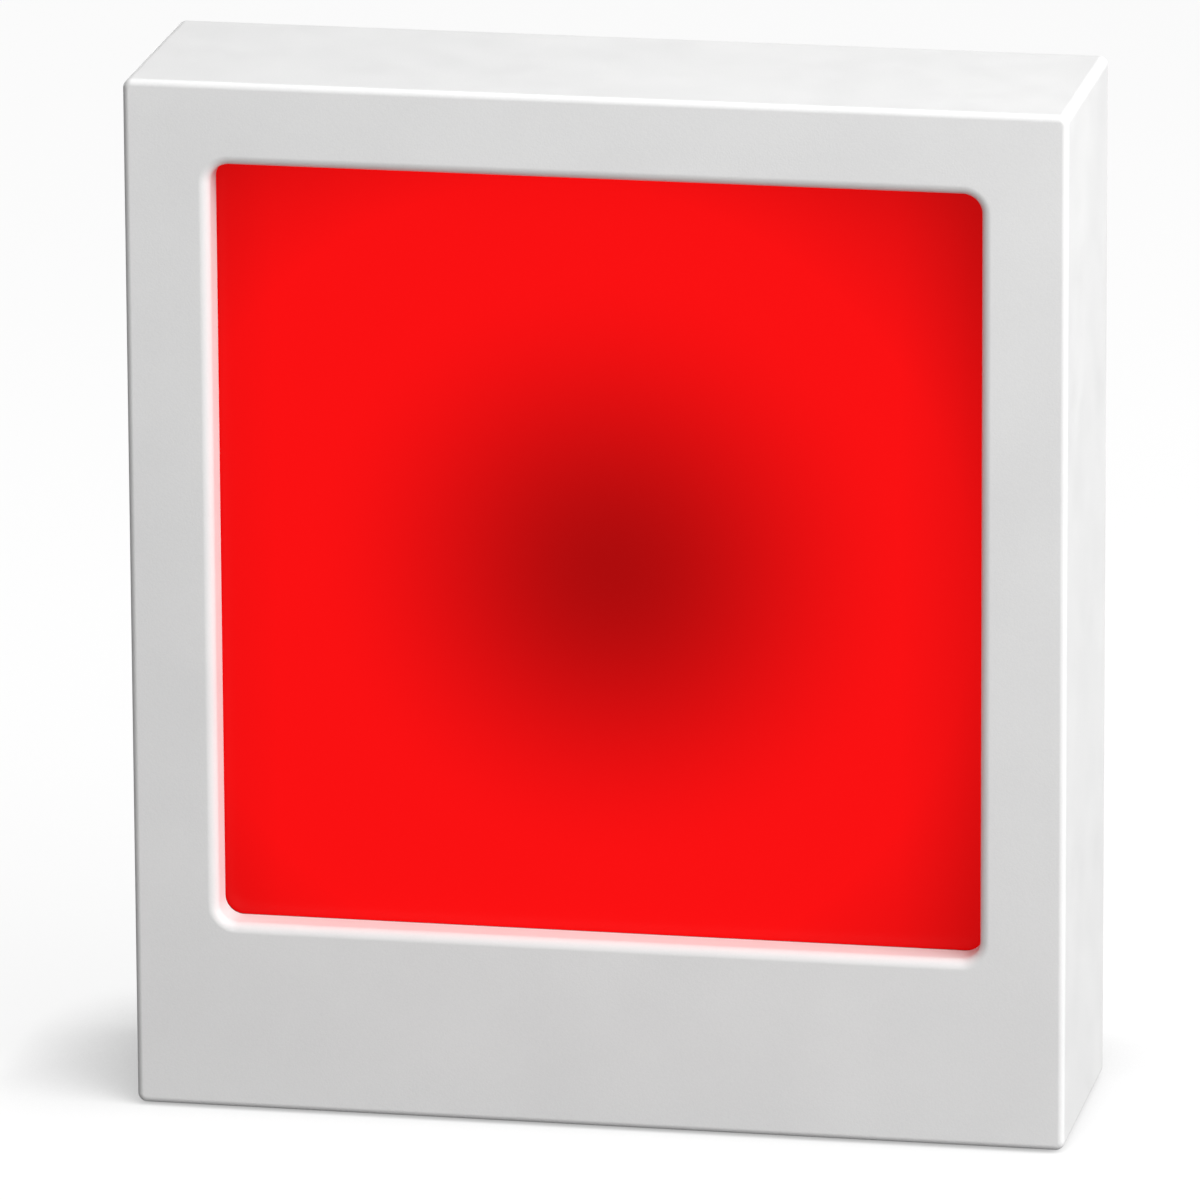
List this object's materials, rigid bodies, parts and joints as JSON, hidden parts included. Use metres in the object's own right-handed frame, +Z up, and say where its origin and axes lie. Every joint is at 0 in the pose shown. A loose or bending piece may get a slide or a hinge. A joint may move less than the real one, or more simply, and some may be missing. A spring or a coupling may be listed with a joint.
{
  "type": "darkroom safelight",
  "caption": "Slim upright white safelight with a square recessed red filter window, LED backlight, battery door, rocker switch and hanging slots at the rear.",
  "frame": {"origin": "middle of the case's footprint, on the surface that the rubber feet stand on", "axes": "+X right seen from the front, the lit window faces -Y, +Z up"},
  "size_m": [0.18, 0.05, 0.2026],
  "materials": {
    "white_plastic": "fine matte texture",
    "bright_white": "smooth white, diffusely reflecting",
    "black_plastic": "satin",
    "red_acrylic": "glossy, lit from behind",
    "opal_acrylic": "opal, smooth",
    "black_foam": "closed-cell foam",
    "rubber": "matte",
    "steel": "plated",
    "circuit_board": "solder mask",
    "white_board": "white solder mask",
    "led_body": "white package with yellow phosphor",
    "copper": "enamelled copper winding",
    "cell_sleeve": "printed shrink sleeve, no print",
    "capacitor_sleeve": "shrink sleeve",
    "red_insulation": "PVC insulation",
    "black_insulation": "PVC insulation"
  },
  "bodies": {
    "case": {"front_shell": "white_plastic", "rear_cover": "white_plastic", "reflector_tray": "bright_white", "battery_holder": "black_plastic", "retaining_frame": "black_plastic", "driver_chip": "black_plastic", "switch_body": "black_plastic", "power_inlet": "black_plastic", "red_filter": "red_acrylic", "diffuser": "opal_acrylic", "filter_gasket": "black_foam", "rear_seal": "black_foam", "rubber_foot_1": "rubber", "rubber_foot_2": "rubber", "rubber_foot_3": "rubber", "rubber_foot_4": "rubber", "rear_screw_1": "steel", "rear_screw_2": "steel", "rear_screw_3": "steel", "rear_screw_4": "steel", "frame_screw_1": "steel", "frame_screw_2": "steel", "frame_screw_3": "steel", "frame_screw_4": "steel", "holder_screw_1": "steel", "holder_screw_2": "steel", "board_screw_1": "steel", "board_screw_2": "steel", "door_hinge_pin": "steel", "battery_positive_contact": "steel", "battery_negative_contact": "steel", "battery_link_contact": "steel", "inlet_nut": "steel", "driver_board": "circuit_board", "led_board": "white_board", "led_1": "led_body", "led_2": "led_body", "led_3": "led_body", "led_4": "led_body", "led_5": "led_body", "led_6": "led_body", "led_7": "led_body", "led_8": "led_body", "driver_inductor": "copper", "battery_cell_1": "cell_sleeve", "battery_cell_2": "cell_sleeve", "battery_cell_3": "cell_sleeve", "battery_cell_4": "cell_sleeve", "driver_capacitor": "capacitor_sleeve", "battery_wire_red": "red_insulation", "switch_wire_1": "red_insulation", "inlet_wire_red": "red_insulation", "led_wire_red": "red_insulation", "battery_wire_black": "black_insulation", "switch_wire_2": "black_insulation", "inlet_wire_black": "black_insulation", "led_wire_black": "black_insulation"},
    "door": {"battery_door": "white_plastic"},
    "switch_rocker": {"rocker": "black_plastic"}
  },
  "joints": [
    {"name": "battery_door_hinge", "type": "hinge", "parent": "case", "child": "door", "pos_m": [0, 0.0228, 0.01], "axis": [-1, 0, 0], "range_deg": [0, 95]},
    {"name": "rocker_tilt", "type": "hinge", "parent": "case", "child": "switch_rocker", "pos_m": [-0.015, 0.0172, 0.071], "axis": [1, 0, 0], "range_deg": [-24, 0]}
  ]
}
